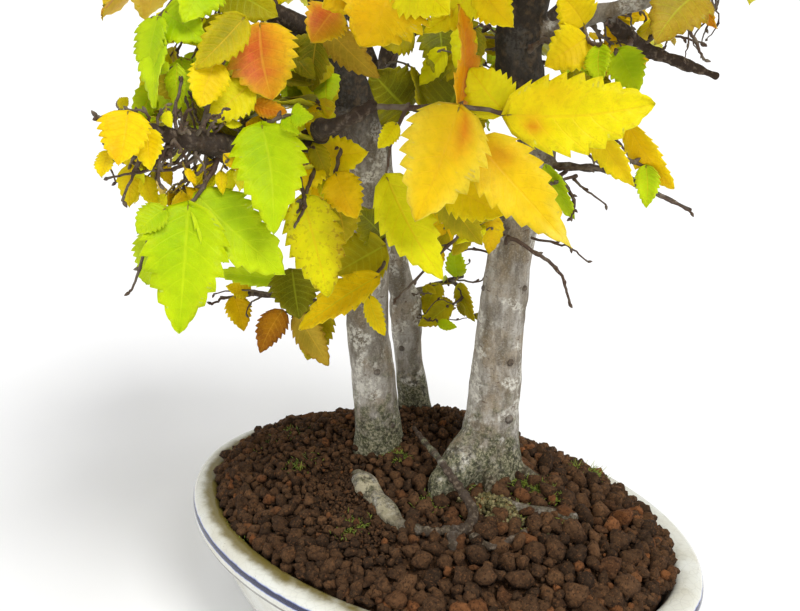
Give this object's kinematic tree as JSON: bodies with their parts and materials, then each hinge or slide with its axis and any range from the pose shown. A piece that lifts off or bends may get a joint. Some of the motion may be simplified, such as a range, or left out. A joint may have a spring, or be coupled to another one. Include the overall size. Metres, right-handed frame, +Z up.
{
  "type": "japanese zelkova bonsai in a glazed oval pot",
  "caption": "Small group of grey-barked trees with saw-edged autumn leaves, rooted in a mound of clay granules in a cream glazed oval pot on low feet.",
  "frame": {"origin": "on the ground, under the middle of the whole part's box", "axes": "+Z up, +X along the pot's long side, +Y towards the back of the pot"},
  "size_m": [0.3058, 0.2872, 0.4181],
  "materials": {
    "glazed_pot": "cream glaze with fine crackle, dark blue lines and an earth stain inside the lip",
    "clay_granules": "matt dark red-brown baked clay granules",
    "bark": "grey smooth bark with small brown pores, living wood",
    "leaf_lime": "satin, thin, lit through",
    "leaf_green": "satin, thin, lit through",
    "leaf_yellow": "satin, thin, lit through",
    "leaf_orange": "satin, thin, lit through",
    "net": "matt black"
  },
  "bodies": {
    "root": {"crown_green_10": "leaf_green", "crown_green_12": "leaf_green", "crown_green_15": "leaf_green", "crown_green_2": "leaf_green", "crown_green_22": "leaf_green", "crown_green_5": "leaf_green", "crown_green_9": "leaf_green", "crown_lime_13": "leaf_lime", "crown_lime_17": "leaf_lime", "crown_lime_23": "leaf_lime", "crown_lime_6": "leaf_lime", "crown_orange_18": "leaf_orange", "crown_orange_19": "leaf_orange", "crown_orange_4": "leaf_orange", "crown_orange_7": "leaf_orange", "crown_yellow_1": "leaf_yellow", "crown_yellow_11": "leaf_yellow", "crown_yellow_14": "leaf_yellow", "crown_yellow_16": "leaf_yellow", "crown_yellow_20": "leaf_yellow", "crown_yellow_21": "leaf_yellow", "crown_yellow_24": "leaf_yellow", "crown_yellow_3": "leaf_yellow", "crown_yellow_8": "leaf_yellow", "drain_net_left": "net", "drain_net_right": "net", "pot": "glazed_pot", "soil": "clay_granules", "spray_amber_low": "leaf_yellow", "spray_amber_top": "leaf_yellow", "spray_bare_right": "bark", "spray_brown_low": "leaf_orange", "spray_green_arm": "leaf_green", "spray_green_high": "leaf_green", "spray_green_low": "leaf_green", "spray_green_middle": "leaf_green", "spray_green_right": "leaf_green", "spray_green_top": "leaf_green", "spray_lemon_top": "leaf_yellow", "spray_lime_front": "leaf_lime", "spray_lime_middle": "leaf_lime", "spray_long_twig": "leaf_yellow", "spray_olive_arm": "leaf_green", "spray_olive_back": "leaf_green", "spray_olive_high": "leaf_green", "spray_olive_trunk": "leaf_green", "spray_orange_left": "leaf_orange", "spray_orange_top": "leaf_orange", "spray_yellow_arm": "leaf_yellow", "spray_yellow_behind": "leaf_yellow", "spray_yellow_hanging": "leaf_yellow", "spray_yellow_left": "leaf_yellow", "spray_yellow_middle": "leaf_yellow", "tree_back": "bark", "tree_left": "bark", "tree_right": "bark"}
  },
  "joints": []
}
